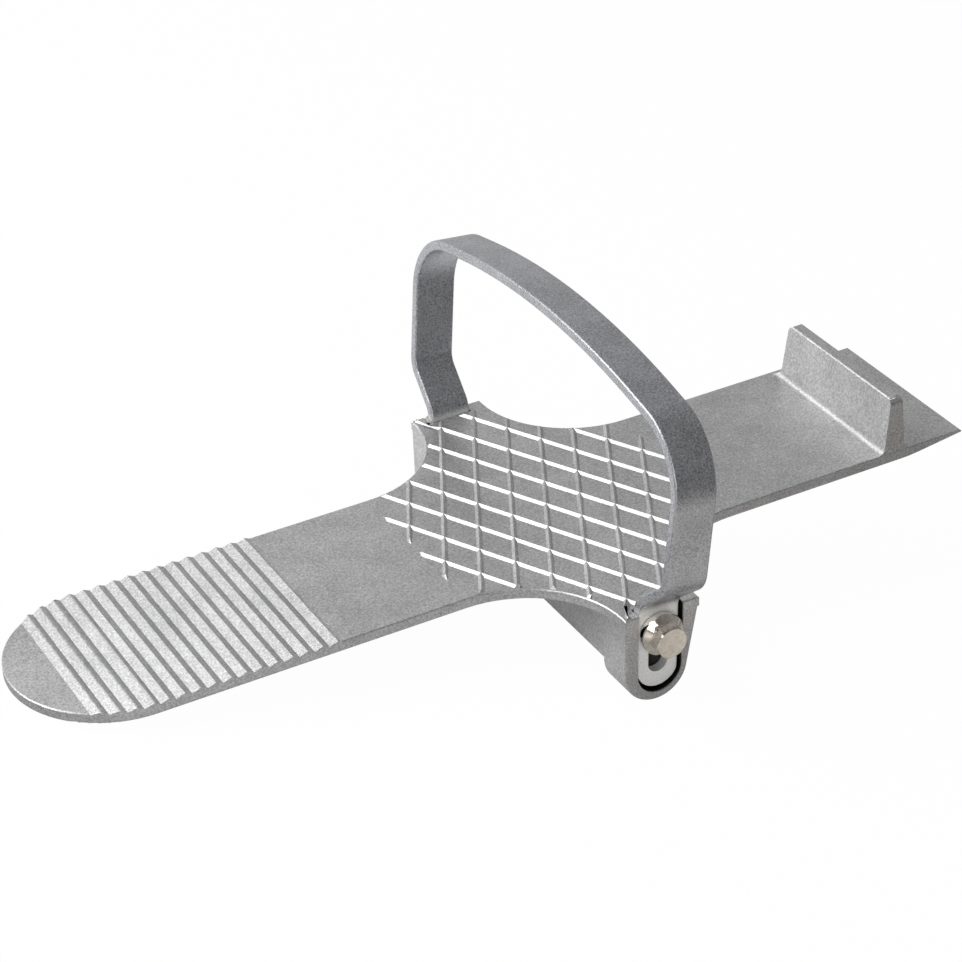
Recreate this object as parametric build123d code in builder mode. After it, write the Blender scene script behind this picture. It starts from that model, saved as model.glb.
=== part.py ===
from build123d import *
from math import asin, atan2, cos, degrees, radians, sin, tan
import os

# A foot-operated board lifter. One aluminium casting rocks on two rounded lugs: a shoe
# presses the ribbed pedal down and the lip at the other end lifts a board. A steel strap
# arches over the shoe. Each end of the strap is a slotted tab that sits in a pocket in the
# side of a lug, clamped by a flange bolt and a spring washer, so the strap can be set higher.
#
# The pieces are modelled with the deck level: X runs from the toe of the pedal (X = 0) to
# the lip, Y runs across, and the top of the deck is Z = 0. At the end they are tipped until
# the toe and both lugs touch the floor, which is how the tool lies when nobody uses it.

# deck: pedal, platform and blade are one flat plate
deck_thickness = 3.8
pedal_width = 67.0
blade_width = 65.6
lip_x = 321.3
deck_top_chamfer = 0.35
deck_bottom_radius = 1.0

# lugs, one on each side of the platform, and the walls that join them
lug_x = 183.6
lug_width = 26.0
lug_span = 140.0
lug_thickness = 13.4
lug_drop = 32.4
lug_foot_radius = 10.9
lug_foot_shift = -2.2
lug_edge_radius = 0.8
waist_shoulder = 2.0
neck_shoulder = 2.7
wall_thickness = 4.0
wall_drop = 20.8
cast_radius = 1.5
cast_draft = 2.0
hollow_radius = 4.0

# the strap's tabs, the pockets and the bolts share an axis just on the toe side of the lugs'
# middle, which leans a little towards the lip; above the tabs the strap's arch leans more
strap_setback = 0.4
rake = 2.0
arch_rake = 5.8

# pocket in the outer face of each lug
pocket_width = 15.8
pocket_depth = 5.0
pocket_drop = 29.8

# sawtooth grip ribs on the pedal
rib_start = 14.5
rib_pitch = 5.0
rib_count = 16
rib_flank = 3.3
rib_peak = 0.7
rib_bed_margin = 0.1

# raised diamond ribs on the platform
hatch_setback = 0.6
hatch_step_x = 12.28
hatch_step_y = 24.0
hatch_rib = 1.2
hatch_height = 0.8
hatch_margin = 1.0
hatch_front_reach = 47.8
hatch_back_reach = 46.6
hatch_lines = 15
hatch_smallest = 12.0

# fence that stops the board, and the thin lip in front of it
fence_x = 290.8
fence_height = 19.4
fence_top = 4.4
fence_base = 8.0
fence_rear_draft = 0.8
fence_end_draft = 0.8
fence_left_inset = 4.3
fence_root_radius = 2.5
fence_top_radius = 0.8
fence_corner_radius = 2.5
fence_flare_radius = 3.9
fence_sink = 0.02
lip_taper_x = 297.0
lip_edge = 0.7

# foot strap, a flat bar bent into an arch
strap_width = 14.4
strap_thickness = 3.3
strap_edge_radius = 0.8
strap_gap = 0.2
tab_drop = 28.4
tab_lap = 1.0
slot_width = 6.8
slot_travel = 11.5
joggle_height = 2.4
joggle_radius = 7.0
shoulder_height = 13.8
shoulder_reach = 80.6
arch_reach = 82.0
arch_height = 71.4
corner_radius = 22.5
crown_radius = 295.0
crown_angle = 10.5

# flange bolts and spring washers
bolt_drop = 8.3
bolt_length = 16.0
bolt_fit = 0.05
bolt_tip_chamfer = 1.0
shank_diameter = 6.0
flange_diameter = 14.2
flange_thickness = 1.6
flange_slope = 0.7
head_flats = 10.0
head_height = 4.6
head_chamfer = 0.7
head_turn = 14.0
washer_outside = 13.4
washer_inside = 6.4
washer_thickness = 1.8
washer_split = 1.2
washer_gap = 0.12

# places that follow from the sizes
half_span = lug_span / 2
lug_front = lug_x - lug_width / 2
lug_back = lug_x + lug_width / 2
strap_x = lug_x - strap_setback
hatch_node_x = lug_x - hatch_setback
hatch_start = lug_x - hatch_front_reach
hatch_end = lug_x + hatch_back_reach
lug_inside = half_span - lug_thickness
waist_radius = half_span - pedal_width / 2 - waist_shoulder
neck_radius = half_span - blade_width / 2 - neck_shoulder
foot_height = lug_drop - lug_foot_radius
rib_valley = deck_top_chamfer + rib_bed_margin
rib_end = rib_start + (rib_count - 1) * rib_pitch + rib_flank
strap_inside = half_span - pocket_depth + strap_gap
strap_outside = strap_inside + strap_thickness
washer_seat = strap_outside + washer_gap
flange_seat = washer_seat + washer_thickness + washer_gap
up = (sin(radians(rake)), 0, cos(radians(rake)))


def side_plane(side, y):
    """Upright plane on the lug's centre line, looking outwards on side +1 or -1."""
    return Plane(origin=(lug_x, side * y, 0), x_dir=(-side, 0, 0), z_dir=(0, side, 0))


def raked_plane(side, y):
    """Plane on the strap's axis whose own y direction leans with the strap."""
    x_dir = (-side * up[2], 0, side * up[0])
    return Plane(origin=(strap_x, side * y, 0), x_dir=x_dir, z_dir=(0, side, 0))


def bolt_plane(side, y):
    """Raked plane with its origin on the axis of the bolt."""
    origin = (strap_x - bolt_drop * up[0], side * y, -bolt_drop * up[2])
    return Plane(origin=origin, x_dir=(-side, 0, 0), z_dir=(0, side, 0))


def both_sides(plane, y):
    return plane(-1, y), plane(1, y)


# the outline that the pedal, the platform with its lugs and the blade share
with BuildSketch() as plan:
    with BuildLine():
        toe = CenterArc((pedal_width / 2, 0), pedal_width / 2, 180, -90)
        Line(toe @ 1, (lug_front - waist_radius, pedal_width / 2))
        waist = CenterArc(
            (lug_front - waist_radius, half_span - waist_shoulder), waist_radius, 270, 90
        )
        Polyline(waist @ 1, (lug_front, half_span), (lug_back, half_span),
                 (lug_back, half_span - neck_shoulder))
        neck = CenterArc(
            (lug_back + neck_radius, half_span - neck_shoulder), neck_radius, 180, 90
        )
        Polyline(neck @ 1, (lip_x, blade_width / 2), (lip_x, 0))
        mirror(about=Plane.XZ)
    make_face()

# the area that the diamond ribs cover, kept off the edges and clear of the pockets
with BuildSketch() as platform:
    add(plan.sketch)
    offset(amount=-hatch_margin)
    with Locations(((hatch_start + hatch_end) / 2, 0)):
        Rectangle(hatch_end - hatch_start, lug_span, mode=Mode.INTERSECT)
    pocket_front = strap_x - pocket_width / 2 - hatch_margin
    with Locations((pocket_front, half_span), (pocket_front, -half_span)):
        Rectangle(lug_width, 2 * (pocket_depth + hatch_margin),
                  align=(Align.MIN, Align.CENTER), mode=Mode.SUBTRACT)

# two crossing families of thin ribs
with BuildSketch() as hatch:
    rib_angle = degrees(atan2(hatch_step_y, hatch_step_x))
    for angle in (rib_angle, -rib_angle):
        for line in range(-(hatch_lines // 2), hatch_lines // 2 + 1):
            with Locations((hatch_node_x + line * hatch_step_x, 0)):
                Rectangle(2 * lug_span, hatch_rib, rotation=angle)
    add(platform.sketch, mode=Mode.INTERSECT)
# slivers that the trimming leaves at the rim are dropped
hatch_ribs = [face for face in hatch.faces() if face.area > hatch_smallest]

# sawtooth ribs, trimmed to the outline so that each one ends at the pedal's side
with BuildPart() as grip_ribs:
    with BuildSketch(Plane.XZ):
        with Locations(*[(rib_start + n * rib_pitch, 0) for n in range(rib_count)]):
            Polygon((0, -rib_valley), (rib_flank, rib_peak), (rib_pitch, -rib_valley), align=None)
    extrude(amount=pedal_width, both=True)
    extrude(plan.sketch, amount=deck_thickness, both=True, mode=Mode.INTERSECT)

# fence: both faces lean back a little and its left end stops short of the blade's edge
with BuildPart() as fence:
    fence_rear = fence_x + fence_base
    fence_rear_top = fence_rear - fence_rear_draft
    sunk = Plane(origin=(0, 0, -fence_sink), x_dir=(1, 0, 0), z_dir=(0, -1, 0))
    with BuildSketch(sunk) as fence_profile:
        Polygon((fence_x, 0), (fence_rear_top - fence_top, fence_height),
                (fence_rear_top, fence_height), (fence_rear, 0), align=None)
        fillet(fence_profile.vertices().group_by(Axis.Y)[-1], fence_top_radius)
        with Locations((fence_x + fence_base / 2, 0)):
            Rectangle(fence_base + 4 * fence_root_radius, deck_thickness / 2,
                      align=(Align.CENTER, Align.MAX))
        beside = (fence_x - fence_root_radius, fence_rear + fence_root_radius)
        roots = fence_profile.vertices().filter_by_position(Axis.X, *beside)
        fillet(roots.filter_by_position(Axis.Y, -fence_sink, fence_sink), fence_root_radius)
    extrude(amount=blade_width / 2, both=True)
    right_end = deck_top_chamfer - blade_width / 2
    left_end = blade_width / 2 - fence_left_inset
    with BuildSketch(Plane.YZ) as fence_ends:
        Polygon((right_end, -fence_sink), (left_end, -fence_sink),
                (left_end - fence_end_draft, fence_height),
                (right_end + fence_end_draft, fence_height), align=None)
        fillet(fence_ends.vertices().group_by(Axis.Y)[-1], fence_corner_radius)
        rim_left = blade_width / 2 - deck_top_chamfer
        with Locations((right_end, -fence_sink)):
            Rectangle(rim_left - right_end, deck_thickness / 2, align=(Align.MIN, Align.MAX))
        beside = (left_end - fence_sink, left_end + fence_sink)
        root = fence_ends.vertices().filter_by_position(Axis.X, *beside)
        fillet(root.filter_by_position(Axis.Y, -2 * fence_sink, 0), fence_flare_radius)
    extrude(amount=lip_x, mode=Mode.INTERSECT)

# the hollow under the platform, a box with draft and rounded corners
with BuildPart() as hollow:
    with BuildSketch(Plane.XY.offset(-wall_drop)):
        with Locations((lug_x, 0)):
            RectangleRounded(lug_width - 2 * wall_thickness, 2 * lug_inside, hollow_radius)
    extrude(amount=wall_drop - deck_thickness, taper=cast_draft)
    fillet(hollow.faces().sort_by(Axis.Z)[-1].edges(), cast_radius)

# lugs that taper down to round feet, which lie a little towards the toe
with BuildPart() as lugs:
    for side in (-1, 1):
        with BuildSketch(side_plane(side, half_span)):
            with BuildLine():
                Line((-lug_width / 2, -deck_thickness / 2), (lug_width / 2, -deck_thickness / 2))
                CenterArc((-side * lug_foot_shift, -foot_height), lug_foot_radius, 0, 360)
            make_hull()
    extrude(amount=-lug_thickness)
    outward = lugs.faces().sort_by(Axis.Y)
    rims = outward[0].edges() + outward[-1].edges()
    below_deck = (-lug_drop, -deck_thickness / 2)
    fillet(rims.filter_by_position(Axis.Z, *below_deck, inclusive=(True, False)), lug_edge_radius)

with BuildPart() as casting:
    extrude(plan.sketch, amount=-deck_thickness)
    fillet(casting.faces().sort_by(Axis.Z)[0].edges(), deck_bottom_radius)
    # a shallow bed for the grip's sawtooth is sunk into the pedal before the rim is rounded
    with BuildSketch():
        with Locations((rib_start, 0)):
            Rectangle(rib_end - rib_start, pedal_width, align=(Align.MIN, Align.CENTER))
    extrude(amount=-rib_valley, mode=Mode.SUBTRACT)
    rim = casting.edges().group_by(Axis.Z)[-1]
    chamfer(rim - rim.filter_by_position(Axis.X, rib_start, rib_end), deck_top_chamfer)
    add(grip_ribs.part)
    add(lugs.part)
    # front and rear wall between the lugs, with the hollow between them
    with BuildSketch(Plane.XY.offset(-deck_thickness / 2)):
        with Locations((lug_x, 0)):
            Rectangle(lug_width, 2 * lug_inside)
    extrude(amount=deck_thickness / 2 - wall_drop)
    add(hollow.part, mode=Mode.SUBTRACT)
    # the lip's underside rises to a thin edge
    with BuildSketch(Plane.XZ):
        Polygon((lip_taper_x, -deck_thickness), (lip_x, -lip_edge), (lip_x, -deck_thickness),
                align=None)
    extrude(amount=blade_width, both=True, mode=Mode.SUBTRACT)
    add(fence.part)
    # pockets, open upwards through the edge of the deck
    with BuildSketch(*both_sides(raked_plane, half_span)):
        with Locations((0, deck_thickness)):
            Rectangle(pocket_width, deck_thickness + pocket_drop - pocket_width / 2,
                      align=(Align.CENTER, Align.MAX))
        with Locations((0, pocket_width / 2 - pocket_drop)):
            Circle(pocket_width / 2)
    extrude(amount=-pocket_depth, mode=Mode.SUBTRACT)
    # bolt holes
    with BuildSketch(*both_sides(bolt_plane, half_span)):
        Circle(shank_diameter / 2 + bolt_fit)
    extrude(amount=-lug_thickness - hollow_radius, mode=Mode.SUBTRACT)
    extrude(hatch_ribs, amount=hatch_height)

# the strap's arch follows its centre line from the top of one tab to the other
strap_middle = strap_inside + strap_thickness / 2
joggle_turn = atan2(shoulder_reach - strap_middle, shoulder_height - joggle_height)
bend_rise = joggle_radius * tan(joggle_turn / 2)
tab_top = joggle_height - bend_rise
across = Plane(origin=(strap_x + tab_top * up[0], 0, tab_top * up[2]), x_dir=(0, 1, 0),
               z_dir=(cos(radians(arch_rake)), 0, -sin(radians(arch_rake))))
crown_peak = arch_height + crown_radius * (1 / cos(radians(crown_angle)) - 1)
corner_height = crown_peak - arch_reach * tan(radians(crown_angle))
half_line = [(strap_middle, -tab_lap), (strap_middle, bend_rise),
             (shoulder_reach, shoulder_height - tab_top), (arch_reach, corner_height - tab_top)]
bend_radii = [joggle_radius, joggle_radius, corner_radius]
with BuildPart() as strap:
    with BuildLine(across) as strap_line:
        FilletPolyline(*half_line, (0, crown_peak - tab_top),
                       *[(-y, z) for y, z in reversed(half_line)],
                       radius=bend_radii + [crown_radius] + bend_radii[::-1])
    with BuildSketch(Plane(strap_line.line @ 0, x_dir=across.z_dir, z_dir=strap_line.line % 0)):
        RectangleRounded(strap_width, strap_thickness, strap_edge_radius)
    sweep()
    # tabs, which lie in the pockets
    tab_base = (strap_x - tab_drop * up[0], 0, -tab_drop * up[2])
    with BuildSketch(Plane(origin=tab_base, x_dir=(up[2], 0, -up[0]), z_dir=up)):
        with Locations((0, strap_middle), (0, -strap_middle)):
            RectangleRounded(strap_width, strap_thickness, strap_edge_radius)
    extrude(amount=tab_drop + tab_top)
    # round ends and adjustment slots of the tabs
    with BuildSketch(*both_sides(raked_plane, strap_outside)):
        with Locations((0, strap_width / 2 - tab_drop)):
            Rectangle(strap_width, strap_width / 2, align=(Align.CENTER, Align.MAX))
            Circle(strap_width / 2, mode=Mode.SUBTRACT)
    extrude(amount=-strap_thickness, mode=Mode.SUBTRACT)
    with BuildSketch(*both_sides(raked_plane, strap_outside)):
        with Locations((0, -bolt_drop - slot_travel / 2)):
            SlotCenterToCenter(slot_travel, slot_width, rotation=90)
    extrude(amount=-strap_thickness, mode=Mode.SUBTRACT)


def make_bolt(side):
    """Hexagon flange bolt with its shank pointing inwards from the flange's seat."""
    seat = bolt_plane(side, flange_seat)
    with BuildPart() as bolt:
        with BuildSketch(seat.offset(flange_thickness)):
            RegularPolygon(head_flats / 2, 6, major_radius=False, rotation=head_turn)
        extrude(amount=head_height)
        # the head's corners are turned off
        corner = head_flats / 2 / cos(radians(30))
        top = flange_thickness + head_height
        profile = Plane(seat.origin, x_dir=seat.x_dir, z_dir=seat.x_dir.cross(seat.z_dir))
        with BuildSketch(profile):
            Polygon((0, 0), (corner, 0), (corner, top - head_chamfer),
                    (head_flats / 2 - head_chamfer / 2, top), (0, top), align=None)
        revolve(axis=Axis(seat.origin, seat.z_dir), mode=Mode.INTERSECT)
        with BuildSketch(profile):
            Polygon((0, flange_thickness + flange_slope),
                    (head_flats / 2, flange_thickness + flange_slope),
                    (flange_diameter / 2, flange_thickness - flange_slope),
                    (flange_diameter / 2, 0), (shank_diameter / 2, 0),
                    (shank_diameter / 2, bolt_tip_chamfer - bolt_length),
                    (shank_diameter / 2 - bolt_tip_chamfer, -bolt_length), (0, -bolt_length),
                    align=None)
        revolve(axis=Axis(seat.origin, seat.z_dir))
    return bolt


def make_washer(side):
    """Split spring washer between the strap's tab and the bolt's flange."""
    with BuildPart() as washer:
        with BuildSketch(bolt_plane(side, washer_seat)):
            Circle(washer_outside / 2)
            Circle(washer_inside / 2, mode=Mode.SUBTRACT)
            Rectangle(washer_split, washer_outside, align=(Align.CENTER, Align.MIN),
                      mode=Mode.SUBTRACT)
        extrude(amount=washer_thickness)
    return washer


pieces = {"body_casting": casting, "foot_strap": strap}
for hand, side in (("right", -1), ("left", 1)):
    pieces[hand + "_bolt"] = make_bolt(side)
    pieces[hand + "_spring_washer"] = make_washer(side)

# tip the level model until the toe's rounded edge and the lugs' feet touch the floor
toe_centre = Vector(deck_bottom_radius, 0, deck_bottom_radius - deck_thickness)
foot_centre = Vector(lug_x + lug_foot_shift, 0, -foot_height)
reach = foot_centre - toe_centre
tilt = atan2(-reach.Z, reach.X) + asin((lug_foot_radius - deck_bottom_radius) / reach.length)
tipped = Location((0, 0, 0), (0, -degrees(tilt), 0))
resting = [piece.part.moved(tipped) for piece in pieces.values()]

os.makedirs("parts", exist_ok=True)
whole = Compound(children=resting).bounding_box()
settle = Location((-whole.center().X, 0, -whole.min.Z))
for name, piece in pieces.items():
    piece.part.locate(settle * tipped)
    piece.part.label = name
    export_step(piece.part, f"parts/{name}.step")
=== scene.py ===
import math
import bmesh
import bpy
from mathutils import Matrix, Vector


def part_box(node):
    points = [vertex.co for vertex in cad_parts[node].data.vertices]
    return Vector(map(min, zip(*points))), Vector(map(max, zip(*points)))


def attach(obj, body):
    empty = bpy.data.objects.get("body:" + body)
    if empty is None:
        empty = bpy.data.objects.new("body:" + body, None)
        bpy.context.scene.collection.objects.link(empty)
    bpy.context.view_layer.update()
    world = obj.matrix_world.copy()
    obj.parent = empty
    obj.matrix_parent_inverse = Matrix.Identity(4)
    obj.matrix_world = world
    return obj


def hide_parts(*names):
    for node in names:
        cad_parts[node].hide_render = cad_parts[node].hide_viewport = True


# Looks of a foot-operated board lifter: a blasted aluminium casting, a painted steel strap
# and two plated flange bolts with spring washers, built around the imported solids.

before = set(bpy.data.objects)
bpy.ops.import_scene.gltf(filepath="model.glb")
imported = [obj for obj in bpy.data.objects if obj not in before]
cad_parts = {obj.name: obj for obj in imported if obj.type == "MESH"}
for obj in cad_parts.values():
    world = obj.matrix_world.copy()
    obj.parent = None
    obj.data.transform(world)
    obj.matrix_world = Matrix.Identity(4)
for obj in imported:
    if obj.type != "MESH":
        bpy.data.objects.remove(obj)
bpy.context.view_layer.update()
scene = bpy.context.scene
scene.view_settings.view_transform = "Standard"

# how the tool lies: its deck is tipped about Y, and the deck's own X runs from toe to lip
deck = {"tilt": 0.157902, "toeShift": (-0.158734, 0.0, 0.003608)}


def fromDeck(x, y, z):
    c, s = math.cos(deck["tilt"]), math.sin(deck["tilt"])
    return Vector((x * c - z * s, y, x * s + z * c))


def deckPoint(x, y, z):  # deck millimetres to metres in the frame
    return fromDeck(x, y, z) / 1000 + Vector(deck["toeShift"])


def deckDirection(x, y, z):
    return fromDeck(x, y, z).normalized()


# the camera looks down on the toe from the right, and is placed in deck millimetres
shot = {"place": (-205.97, -717.14, 516.14), "forward": (0.3863, 0.7569, -0.5271),
        "up": (0.2838, 0.4462, 0.8488), "lens": 113.13, "clip": (0.05, 50)}


def makeCamera():
    camera = bpy.data.objects.new("camera", bpy.data.cameras.new("camera"))
    scene.collection.objects.link(camera)
    camera.data.lens = shot["lens"]
    camera.data.clip_start, camera.data.clip_end = shot["clip"]
    forward = deckDirection(*shot["forward"])
    rightward = forward.cross(deckDirection(*shot["up"])).normalized()
    aim = Matrix((rightward, rightward.cross(forward), -forward)).transposed()
    camera.matrix_world = Matrix.Translation(deckPoint(*shot["place"])) @ aim.to_4x4()
    scene.camera = camera


makeCamera()
print("camera set")


# a large softbox behind the toe, a weak one low on the near side, and the levels that the room
# and the floor show in reflections, as (place, level) steps along Y and across X
studio = {"keyPower": 19.5, "keySize": 1.3, "keyPlace": (-1.0, 0.46, 0.98),
          "sidePower": 3.6, "sideSize": 0.8, "sidePlace": (-0.5, -1.1, 0.32), "fill": 0.42,
          "room": ((-0.92, 0.16), (-0.75, 0.3), (-0.5, 0.3), (0.3, 0.36), (0.55, 0.5),
                   (0.76, 0.78), (0.92, 1.0)),
          "across": ((0.2, 1.06), (0.47, 0.8), (0.7, 0.95), (0.9, 1.1)),
          "floorSize": 6, "floorColor": (0.86, 0.86, 0.86), "floorGlow": 0.98,
          "reflectedGlow": 0.85,
          # the sweep's dark steps beside and under the tool are a painted shadow in its
          # reflection
          "sweep": ((-0.6, 0.05), (-0.4, 0.1), (-0.25, 0.6), (-0.13, 0.85), (-0.107, 0.45),
                    (-0.094, 0.27), (-0.07, 0.34), (-0.05, 0.72), (-0.032, 0.4), (0.01, 0.35),
                    (0.05, 0.95), (0.1, 1.0)),
          "sweepAcross": ((0.09, 1.0), (0.18, 0.5)),
          "warmth": ((-0.1, 0.09), (-0.04, 0.0)), "warmColor": (1.0, 0.5, 0.0)}


def addLamp(name, place, size, power):
    lamp = bpy.data.objects.new(name, bpy.data.lights.new(name, "AREA"))
    scene.collection.objects.link(lamp)
    lamp.data.shape = "SQUARE"
    lamp.data.size = size
    lamp.data.energy = power
    lamp.location = place
    lamp.rotation_mode = "QUATERNION"
    lamp.rotation_quaternion = (-Vector(place)).to_track_quat("-Z", "Y")


def feed(tree, source, target):  # links a socket, or sets a number or a colour
    if isinstance(source, bpy.types.NodeSocket):
        tree.links.new(source, target)
    elif isinstance(source, tuple) and len(source) == 3:
        target.default_value = (*source, 1)
    else:
        target.default_value = source


def addMath(tree, operation, first, second):
    step = tree.nodes.new("ShaderNodeMath")
    step.operation = operation
    feed(tree, first, step.inputs[0])
    feed(tree, second, step.inputs[1])
    return step.outputs[0]


def addMix(tree, kind, factor, first, second):  # kind is FLOAT, or RGBA for colours
    mix = tree.nodes.new("ShaderNodeMix")
    mix.data_type = kind
    feed(tree, factor, mix.inputs["Factor"])
    feed(tree, first, mix.inputs["A"])
    feed(tree, second, mix.inputs["B"])
    return mix.outputs["Result"]


def addRange(tree, value, low, high, toLow=0.0, toHigh=1.0):
    fit = tree.nodes.new("ShaderNodeMapRange")
    fit.inputs["From Min"].default_value = low
    fit.inputs["From Max"].default_value = high
    fit.inputs["To Min"].default_value = toLow
    fit.inputs["To Max"].default_value = toHigh
    feed(tree, value, fit.inputs["Value"])
    return fit.outputs["Result"]


def addSteps(tree, value, stops):  # a smooth run of levels over (value, level) stops
    first, last = stops[0][0], stops[-1][0]
    ramp = tree.nodes.new("ShaderNodeValToRGB")
    points = ramp.color_ramp.elements
    for place, level in stops[1:-1]:
        points.new((place - first) / (last - first)).color = (level, level, level, 1)
    points[0].color = (stops[0][1],) * 3 + (1,)
    points[-1].color = (stops[-1][1],) * 3 + (1,)
    feed(tree, addRange(tree, value, first, last), ramp.inputs["Fac"])
    return ramp.outputs["Color"]


def clearTree(owner):
    owner.use_nodes = True
    owner.node_tree.nodes.clear()
    return owner.node_tree


def addAxes(tree, kind):  # the X, Y and Z outputs of the given coordinates
    coords = tree.nodes.new("ShaderNodeTexCoord")
    split = tree.nodes.new("ShaderNodeSeparateXYZ")
    feed(tree, coords.outputs[kind], split.inputs[0])
    return split.outputs


def addRays(tree):  # 1 for the camera's rays, and 1 for all rays that show the background
    path = tree.nodes.new("ShaderNodeLightPath")
    looks = path.outputs["Is Camera Ray"]
    seen = addMath(tree, "MAXIMUM", looks, path.outputs["Is Glossy Ray"])
    return looks, addMath(tree, "MAXIMUM", seen, path.outputs["Is Transmission Ray"])


def makeWorld():
    scene.world = bpy.data.worlds.new("studioWorld")
    tree = clearTree(scene.world)
    looks, seen = addRays(tree)
    axes = addAxes(tree, "Generated")
    # the backdrop side is white, the room on the near side of the set is dark
    room = addMath(tree, "MULTIPLY", addSteps(tree, axes["Y"], studio["room"]),
                   addSteps(tree, axes["X"], studio["across"]))
    plain = addMath(tree, "MAXIMUM", looks, room)  # camera rays always meet plain white
    glow = tree.nodes.new("ShaderNodeBackground")
    out = tree.nodes.new("ShaderNodeOutputWorld")
    feed(tree, addMix(tree, "FLOAT", seen, studio["fill"], plain), glow.inputs["Strength"])
    feed(tree, glow.outputs[0], out.inputs["Surface"])


def makeFloor():
    bm = bmesh.new()
    bmesh.ops.create_grid(bm, x_segments=1, y_segments=1, size=studio["floorSize"])
    mesh = bpy.data.meshes.new("floor")
    bm.to_mesh(mesh)
    bm.free()
    floor = bpy.data.objects.new("floor", mesh)
    scene.collection.objects.link(floor)
    material = bpy.data.materials.new("paleFloor")
    tree = clearTree(material)
    looks, seen = addRays(tree)
    axes = addAxes(tree, "Object")
    # reflected, the sweep is white behind the tool, and grey and a little warm in front of it,
    # with a painted shadow in its dark strips beside and under the tool
    shine = addMath(tree, "MULTIPLY", addSteps(tree, axes["Y"], studio["sweep"]),
                    addSteps(tree, axes["X"], studio["sweepAcross"]))
    warm = addMath(tree, "SUBTRACT", addSteps(tree, axes["Y"], studio["warmth"]), looks)
    glow = tree.nodes.new("ShaderNodeEmission")
    feed(tree, addMix(tree, "RGBA", warm, (1, 1, 1), studio["warmColor"]), glow.inputs["Color"])
    feed(tree, addMix(tree, "FLOAT", looks, shine, 1.0), glow.inputs["Strength"])
    # the rest of the floor's light is plain diffuse, which keeps the shadow
    share = addMix(tree, "FLOAT", looks, studio["reflectedGlow"], studio["floorGlow"])
    cover = tree.nodes.new("ShaderNodeBsdfDiffuse")
    feed(tree, studio["floorColor"], cover.inputs["Color"])
    blend = tree.nodes.new("ShaderNodeMixShader")
    out = tree.nodes.new("ShaderNodeOutputMaterial")
    feed(tree, addMath(tree, "MULTIPLY", seen, share), blend.inputs["Fac"])
    feed(tree, cover.outputs[0], blend.inputs[1])
    feed(tree, glow.outputs[0], blend.inputs[2])
    feed(tree, blend.outputs[0], out.inputs["Surface"])
    mesh.materials.append(material)


addLamp("keyLight", studio["keyPlace"], studio["keySize"], studio["keyPower"])
addLamp("sideLamp", studio["sidePlace"], studio["sideSize"], studio["sidePower"])
makeWorld()
makeFloor()
print("studio set")


def startMaterial(name):
    material = bpy.data.materials.new(name)
    material.use_nodes = True
    tree = material.node_tree
    coords = tree.nodes.new("ShaderNodeTexCoord")
    return material, tree, tree.nodes["Principled BSDF"], coords.outputs["Object"]


def addNoise(tree, where, scale, detail, roughness):
    noise = tree.nodes.new("ShaderNodeTexNoise")
    noise.inputs["Scale"].default_value = scale
    noise.inputs["Detail"].default_value = detail
    noise.inputs["Roughness"].default_value = roughness
    feed(tree, where, noise.inputs["Vector"])
    return noise.outputs["Fac"]


def addAlong(tree, where, direction, start):  # distance from start along a direction
    reach = tree.nodes.new("ShaderNodeVectorMath")
    reach.operation = "DOT_PRODUCT"
    reach.inputs[1].default_value = direction
    feed(tree, where, reach.inputs[0])
    return addMath(tree, "SUBTRACT", reach.outputs["Value"], direction.dot(start))


def addSurface(tree, shader, grain, look):  # roughness and bump, both from the grain
    feed(tree, addRange(tree, grain, 0.3, 0.7, *look["roughness"]), shader.inputs["Roughness"])
    bump = tree.nodes.new("ShaderNodeBump")
    bump.inputs["Strength"].default_value = look["bump"]
    bump.inputs["Distance"].default_value = look["bumpDepth"] / 1000
    feed(tree, grain, bump.inputs["Height"])
    feed(tree, bump.outputs["Normal"], shader.inputs["Normal"])


def addSpeckle(tree, where, look):  # the grain, and the colour it gives with a slower cloud
    grain = addNoise(tree, where, look["grain"], *look["grainDetail"])
    cloud = addNoise(tree, where, look["cloud"], *look["cloudDetail"])
    blend = addMath(tree, "ADD", addMath(tree, "MULTIPLY", grain, look["grainShare"]),
                    addMath(tree, "MULTIPLY", cloud, 1 - look["grainShare"]))
    factor = addRange(tree, blend, *look["contrast"])
    return grain, addMix(tree, "RGBA", factor, look["dark"], look["light"])


castLook = {"dark": (0.385, 0.385, 0.39), "light": (0.69, 0.69, 0.69), "metal": 0.9,
            "grain": 1500, "grainDetail": (2.0, 0.7), "cloud": 60, "cloudDetail": (4.0, 0.6),
            "grainShare": 0.75, "contrast": (0.38, 0.62), "roughness": (0.38, 0.47),
            "bump": 0.2, "bumpDepth": 0.3}
# painted shade: a near-black colour in the pockets, behind and round the strap's tabs, in deck
# millimetres
pocketShade = {"color": (0.035, 0.035, 0.035), "x": 183.2, "halfWidth": 8.4, "depth": 30.5,
         "below": 0.6, "inner": 64.6, "outer": 69.4}


# the region that gets the painted pocket shade
def addPocketShadeMask(tree, where):
    alongX = addAlong(tree, where, deckDirection(1, 0, 0), deckPoint(pocketShade["x"], 0, 0))
    height = addAlong(tree, where, deckDirection(0, 0, 1), deckPoint(0, 0, 0))
    across = addAlong(tree, where, Vector((0, 1, 0)), Vector())
    across = addMath(tree, "ABSOLUTE", across, 0.0)
    mask = addMath(tree, "LESS_THAN", addMath(tree, "ABSOLUTE", alongX, 0.0),
                   pocketShade["halfWidth"] / 1000)
    for value, test, limit in ((height, "GREATER_THAN", -pocketShade["depth"]),
                               (height, "LESS_THAN", -pocketShade["below"]),
                               (across, "GREATER_THAN", pocketShade["inner"]),
                               (across, "LESS_THAN", pocketShade["outer"])):
        mask = addMath(tree, "MULTIPLY", mask, addMath(tree, test, value, limit / 1000))
    return mask


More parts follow.
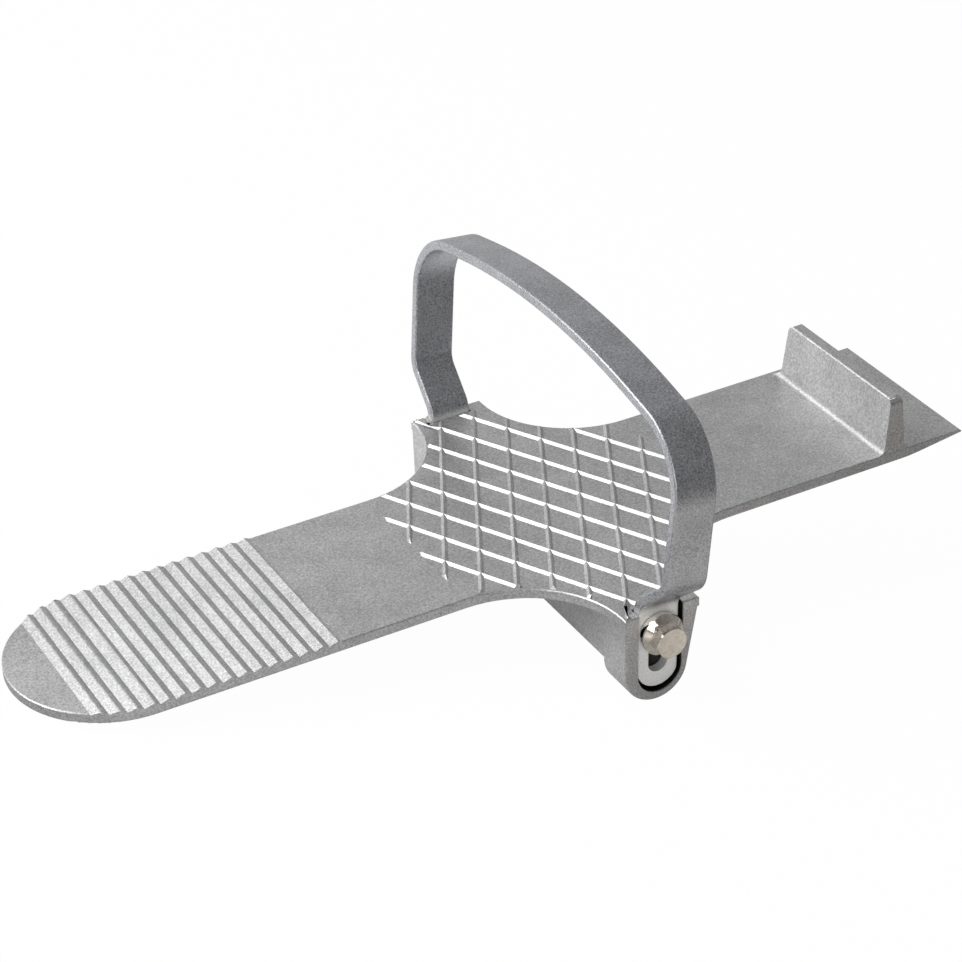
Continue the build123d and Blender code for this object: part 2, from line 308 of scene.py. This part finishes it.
def makeCastAluminium():
    material, tree, shader, where = startMaterial("blastedAluminium")
    grain, metal = addSpeckle(tree, where, castLook)
    # the pockets round the strap's tabs get a painted shade over the metal
    color = addMix(tree, "RGBA", addPocketShadeMask(tree, where), metal, pocketShade["color"])
    feed(tree, color, shader.inputs["Base Color"])
    shader.inputs["Metallic"].default_value = castLook["metal"]
    addSurface(tree, shader, grain, castLook)
    return material


# below a line just above the deck, the strap is painted paler and less metallic than its arch, a
# painted highlight on the joggle's foot and the tabs
strapLook = {"dark": (0.27, 0.27, 0.28), "light": (0.58, 0.59, 0.62), "metal": 0.85,
             "tab": (0.86, 0.86, 0.85), "tabMetal": 0.35, "tabEdge": (2.5, -0.5),
             "grain": 1700, "grainDetail": (2.0, 0.7), "cloud": 90, "cloudDetail": (3.0, 0.5),
             "grainShare": 0.8, "contrast": (0.36, 0.64), "roughness": (0.24, 0.42),
             "bump": 0.34, "bumpDepth": 0.3}


def makeStrapPaint():
    material, tree, shader, where = startMaterial("hammeredSilverPaint")
    grain, paint = addSpeckle(tree, where, strapLook)
    height = addAlong(tree, where, deckDirection(0, 0, 1), deckPoint(0, 0, 0))
    # painted highlight: paler, less metallic paint from just above the deck down over the tabs
    above, below = strapLook["tabEdge"]
    tab = addRange(tree, height, above / 1000, below / 1000)
    color = addMix(tree, "RGBA", tab, paint, strapLook["tab"])
    metal = addRange(tree, tab, 0.0, 1.0, strapLook["metal"], strapLook["tabMetal"])
    feed(tree, color, shader.inputs["Base Color"])
    feed(tree, metal, shader.inputs["Metallic"])
    addSurface(tree, shader, grain, strapLook)
    return material


plateLook = {"dull": (0.74, 0.69, 0.61), "color": (0.90, 0.85, 0.77), "grain": 700,
             "grainDetail": (4.0, 0.6), "contrast": (0.35, 0.65), "roughness": (0.04, 0.10),
             "bump": 0.08, "bumpDepth": 0.2}


def makePlatedSteel():
    material, tree, shader, where = startMaterial("brightZincPlate")
    grain = addNoise(tree, where, plateLook["grain"], *plateLook["grainDetail"])
    factor = addRange(tree, grain, *plateLook["contrast"])
    color = addMix(tree, "RGBA", factor, plateLook["dull"], plateLook["color"])
    feed(tree, color, shader.inputs["Base Color"])
    shader.inputs["Metallic"].default_value = 1.0
    addSurface(tree, shader, grain, plateLook)
    return material


castAluminium = makeCastAluminium()
strapPaint = makeStrapPaint()
platedSteel = makePlatedSteel()
print("materials made")


def setFinish(piece, material):
    piece.data.materials.clear()
    piece.data.materials.append(material)


def newPiece(name, bm, material, body, node):
    mesh = bpy.data.meshes.new(name)
    bm.to_mesh(mesh)
    bm.free()
    piece = bpy.data.objects.new(name, mesh)
    scene.collection.objects.link(piece)
    setFinish(piece, material)
    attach(piece, body)
    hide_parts(node)
    return piece


def addSoftEdge(piece, width, angle):
    edge = piece.modifiers.new("softEdge", "BEVEL")
    edge.width = width / 1000
    edge.segments = 2
    edge.limit_method = "ANGLE"
    edge.angle_limit = math.radians(angle)
    return edge


# grip teeth on the pedal, whose crests are worn flat by drop, in deck millimetres
teeth = {"start": 14.5, "pitch": 5.0, "count": 16, "flank": 3.3, "peak": 0.7, "tall": 1.15,
         "drop": 0.174, "nextLine": 0.32}


def flattenCrests(bm):
    start, pitch, flank, peak, tall, drop, nextLine = (teeth[key] / 1000 for key in (
        "start", "pitch", "flank", "peak", "tall", "drop", "nextLine"))
    level = peak - drop
    end = start + pitch * teeth["count"]
    for vert in bm.verts:
        if not start < vert.co.x < end:
            continue
        phase = (vert.co.x - start) % pitch
        if abs(vert.co.z - peak) < 2e-5:  # the crest itself moves down its long slope
            vert.co.x -= drop * flank / tall
            vert.co.z = level
        elif phase > flank + 1e-4 and peak - nextLine < vert.co.z < level:
            vert.co.x += flank + drop * (pitch - flank) / tall - phase
            vert.co.z = level


# the raised ribs of the platform slope down from a narrow top to a wider foot; a slant longer
# than pointed flanks is the end of a pointed rib, which isn't spread
hatch = {"height": 0.8, "flank": 0.5, "spread": 0.4, "sink": 0.02, "pointed": 2.2}


def slopeRibs(bm):  # in deck coordinates
    top = hatch["height"] / 1000
    ribs = {face for face in bm.faces if all(abs(vert.co.z - top) < 5e-6 for vert in face.verts)}
    ring = bmesh.ops.inset_region(bm, faces=list(ribs), thickness=hatch["flank"] / 1000,
                                  depth=0, use_boundary=True, use_even_offset=True)["faces"]
    raised = ribs | set(ring)
    outer = {vert for face in ring for vert in face.verts
             if any(near not in raised for near in vert.link_faces)}
    wider = 1 + hatch["spread"] / hatch["flank"]
    longest = hatch["flank"] * hatch["pointed"] / 1000
    places = {}
    for vert in outer:
        inner = [edge.other_vert(vert) for edge in vert.link_edges
                 if all(near in raised for near in edge.link_faces)]
        inner = [near for near in inner if near not in outer]
        start = min(inner, key=lambda near: (near.co - vert.co).length).co
        slant = vert.co - start
        place = start + slant * (1 if slant.length > longest else wider)
        place.z = -hatch["sink"] / 1000
        places[vert] = place
    for vert, place in places.items():
        vert.co = place


casting = {"merge": 0.002, "level": 0.5, "sharp": 35, "softEdge": 0.25, "softAngle": 60}


def makeCasting():
    bm = bmesh.new()
    bm.from_mesh(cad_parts["body_casting"].data)
    bmesh.ops.remove_doubles(bm, verts=bm.verts, dist=casting["merge"] / 1000)
    toDeck = Matrix.Rotation(deck["tilt"], 4, "Y") @ Matrix.Translation(-Vector(deck["toeShift"]))
    bmesh.ops.transform(bm, matrix=toDeck, verts=bm.verts)
    flattenCrests(bm)
    bmesh.ops.dissolve_limit(bm, angle_limit=math.radians(casting["level"]), verts=bm.verts,
                             edges=bm.edges)
    slopeRibs(bm)
    bmesh.ops.transform(bm, matrix=toDeck.inverted(), verts=bm.verts)
    piece = newPiece("liftCasting", bm, castAluminium, "casting", "body_casting")
    if "custom_normal" in piece.data.attributes:  # these belong to the unmerged mesh
        piece.data.attributes.remove(piece.data.attributes["custom_normal"])
    piece.data.shade_smooth()
    piece.data.set_sharp_from_angle(angle=math.radians(casting["sharp"]))
    addSoftEdge(piece, casting["softEdge"], casting["softAngle"]).miter_outer = "MITER_ARC"
    piece.modifiers.new("evenNormals", "WEIGHTED_NORMAL").keep_sharp = True


makeCasting()
print("casting made")


def addLine(bm, profile):  # (radius, height) pairs in millimetres, in the XZ plane
    points = [bm.verts.new((radius / 1000, 0, height / 1000)) for radius, height in profile]
    return points + [bm.edges.new(pair) for pair in zip(points, points[1:])]


def lathe(bm, profile, steps):  # turned round Z
    bmesh.ops.spin(bm, geom=addLine(bm, profile), cent=(0, 0, 0), axis=(0, 0, 1),
                   angle=math.tau, steps=steps, use_merge=True)
    bmesh.ops.remove_doubles(bm, verts=bm.verts, dist=1e-7)


def toSide(bm, side, seat):  # from Z up at the origin to outwards on that side, at its seat
    aim = Vector((0, side, 0)).to_track_quat("Z", "X").to_matrix().to_4x4()
    bmesh.ops.transform(bm, matrix=Matrix.Translation(seat) @ aim, verts=bm.verts)
    bmesh.ops.recalc_face_normals(bm, faces=bm.faces)


# hexagon flange bolt, M6, with a plain, slightly dished head; heights are from its seat
bolt = {"flats": 10.0, "headFoot": 1.0, "headTop": 6.2, "headChamfer": 0.45, "faceInset": 0.08,
        "dishRim": 0.5, "dishStart": 0.03, "dish": 0.075, "turn": 14.0,
        "flange": 14.2, "flangeMiddle": 2.3, "flangeTop": 2.2, "flangeEdge": 0.9,
        "flangeSlope": 0.25, "rimBlend": 0.5, "rimRound": 0.12, "rimChamfer": 0.2,
        "shank": 6.0, "length": 16.0, "neck": 1.0, "neckFall": 0.5, "tip": 0.7, "tipChamfer": 1.0,
        "pitch": 1.0, "threadDepth": 0.55, "threadSink": 0.02, "threadClear": 3.2,
        "threadFlat": (0.44, 0.56), "softEdge": 0.12, "softAngle": 30, "steps": 96}


def cutFlats(bm):  # six flats, which leave arcs where they meet the turned chamfer
    for flat in range(6):
        angle = math.radians(60 * flat + bolt["turn"])
        out = Vector((math.cos(angle), math.sin(angle), 0))
        cut = bmesh.ops.bisect_plane(bm, geom=bm.verts[:] + bm.edges[:] + bm.faces[:],
                                     plane_co=out * bolt["flats"] / 2000, plane_no=out,
                                     clear_outer=True)
        rim = [part for part in cut["geom_cut"] if isinstance(part, bmesh.types.BMEdge)]
        bmesh.ops.edgeloop_fill(bm, edges=rim)


def makeHead():
    corner = bolt["flats"] / 2 / math.cos(math.radians(30))
    face = bolt["flats"] / 2 - bolt["faceInset"]
    top = bolt["headTop"]
    bm = bmesh.new()
    lathe(bm, [(0, bolt["headFoot"]), (corner, bolt["headFoot"]),
               (corner, top - bolt["headChamfer"]), (face, top),
               (face - bolt["dishRim"], top - bolt["dishStart"]), (0, top - bolt["dish"])],
          bolt["steps"])
    bmesh.ops.recalc_face_normals(bm, faces=bm.faces)
    cutFlats(bm)
    return bm


def makeFlangeAndShank():
    shank = bolt["shank"] / 2
    root = shank - bolt["threadDepth"]
    rim = bolt["flange"] / 2
    edge, slope, length = bolt["flangeEdge"], bolt["flangeSlope"], bolt["length"]
    bm = bmesh.new()
    lathe(bm, [(0, bolt["flangeMiddle"]), (bolt["flats"] / 2, bolt["flangeTop"]),
               (rim - bolt["rimBlend"], edge + slope), (rim - bolt["rimRound"], edge),
               (rim, edge - slope), (rim, bolt["rimChamfer"]), (rim - bolt["rimChamfer"], 0),
               (shank, 0),
               (shank, -bolt["neck"]), (root, -bolt["neck"] - bolt["neckFall"]),
               (root, bolt["tip"] - length), (shank - bolt["tipChamfer"], -length),
               (0, -length)], bolt["steps"])
    return bm


def makeThread():  # a ridged line wound one turn, climbing one pitch
    shank = bolt["shank"] / 2
    root = shank - bolt["threadDepth"] - bolt["threadSink"]
    low = bolt["tipChamfer"] - bolt["length"]
    profile = [(root, low)]
    for ridge in range(int((bolt["length"] - bolt["threadClear"]) / bolt["pitch"])):
        base = low + ridge * bolt["pitch"]
        profile += [(shank, base + part * bolt["pitch"]) for part in bolt["threadFlat"]]
        profile.append((root, base + bolt["pitch"]))
    bm = bmesh.new()
    steps = bolt["steps"] // 2
    bmesh.ops.spin(bm, geom=addLine(bm, profile), cent=(0, 0, 0), axis=(0, 0, 1),
                   angle=math.tau, steps=steps, dvec=(0, 0, bolt["pitch"] / 1000 / steps))
    bmesh.ops.remove_doubles(bm, verts=bm.verts, dist=1e-7)
    return bm


def joinMeshes(parts):
    whole = bmesh.new()
    for part in parts:
        mesh = bpy.data.meshes.new("part")
        part.to_mesh(mesh)
        part.free()
        whole.from_mesh(mesh)
        bpy.data.meshes.remove(mesh)
    return whole


# spring washer, a square-section ring split once, its ends a little out of line
washer = {"outside": 13.4, "inside": 6.4, "thickness": 1.68, "lift": 0.12, "split": 11.0,
          "turn": 97.0, "softEdge": 0.14, "softAngle": 30, "steps": 72}


def makeWasher():
    low, high = washer["inside"] / 2000, washer["outside"] / 2000
    thick = washer["thickness"] / 1000
    bm = bmesh.new()
    corners = [bm.verts.new((x, 0, z)) for x, z in
               ((low, 0), (high, 0), (high, thick), (low, thick))]
    section = bm.faces.new(corners)
    start = Matrix.Rotation(math.radians(washer["turn"] + washer["split"]), 3, "Z")
    bmesh.ops.rotate(bm, verts=bm.verts, cent=(0, 0, 0), matrix=start)
    bmesh.ops.spin(bm, geom=[section], cent=(0, 0, 0), axis=(0, 0, 1),
                   angle=math.radians(360 - washer["split"]), steps=washer["steps"],
                   dvec=(0, 0, washer["lift"] / 1000 / washer["steps"]), use_duplicate=False)
    return bm


def placeFastener(name, bm, side, seat, body, node, look):
    toSide(bm, side, seat)
    piece = newPiece(name, bm, platedSteel, body, node)
    piece.data.shade_smooth()
    addSoftEdge(piece, look["softEdge"], look["softAngle"]).harden_normals = True


def makeFasteners():
    for hand, side in (("right", -1), ("left", 1)):
        low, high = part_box(hand + "_bolt")
        middle = (Vector(low) + Vector(high)) / 2
        outer = high[1] if side > 0 else low[1]
        seat = Vector((middle.x, outer - side * bolt["headTop"] / 1000, middle.z))
        whole = joinMeshes([makeHead(), makeFlangeAndShank(), makeThread()])
        placeFastener(hand + "HexBolt", whole, side, seat, hand + "_bolt", hand + "_bolt", bolt)
        low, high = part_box(hand + "_spring_washer")
        seat = Vector((middle.x, low[1] if side > 0 else high[1], middle.z))
        placeFastener(hand + "SpringWasher", makeWasher(), side, seat, hand + "_washer",
                      hand + "_spring_washer", washer)


makeFasteners()
print("fasteners made")

finishes = {"body_casting": castAluminium, "foot_strap": strapPaint}
for node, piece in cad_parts.items():
    setFinish(piece, finishes.get(node, platedSteel))
print("finishes set")
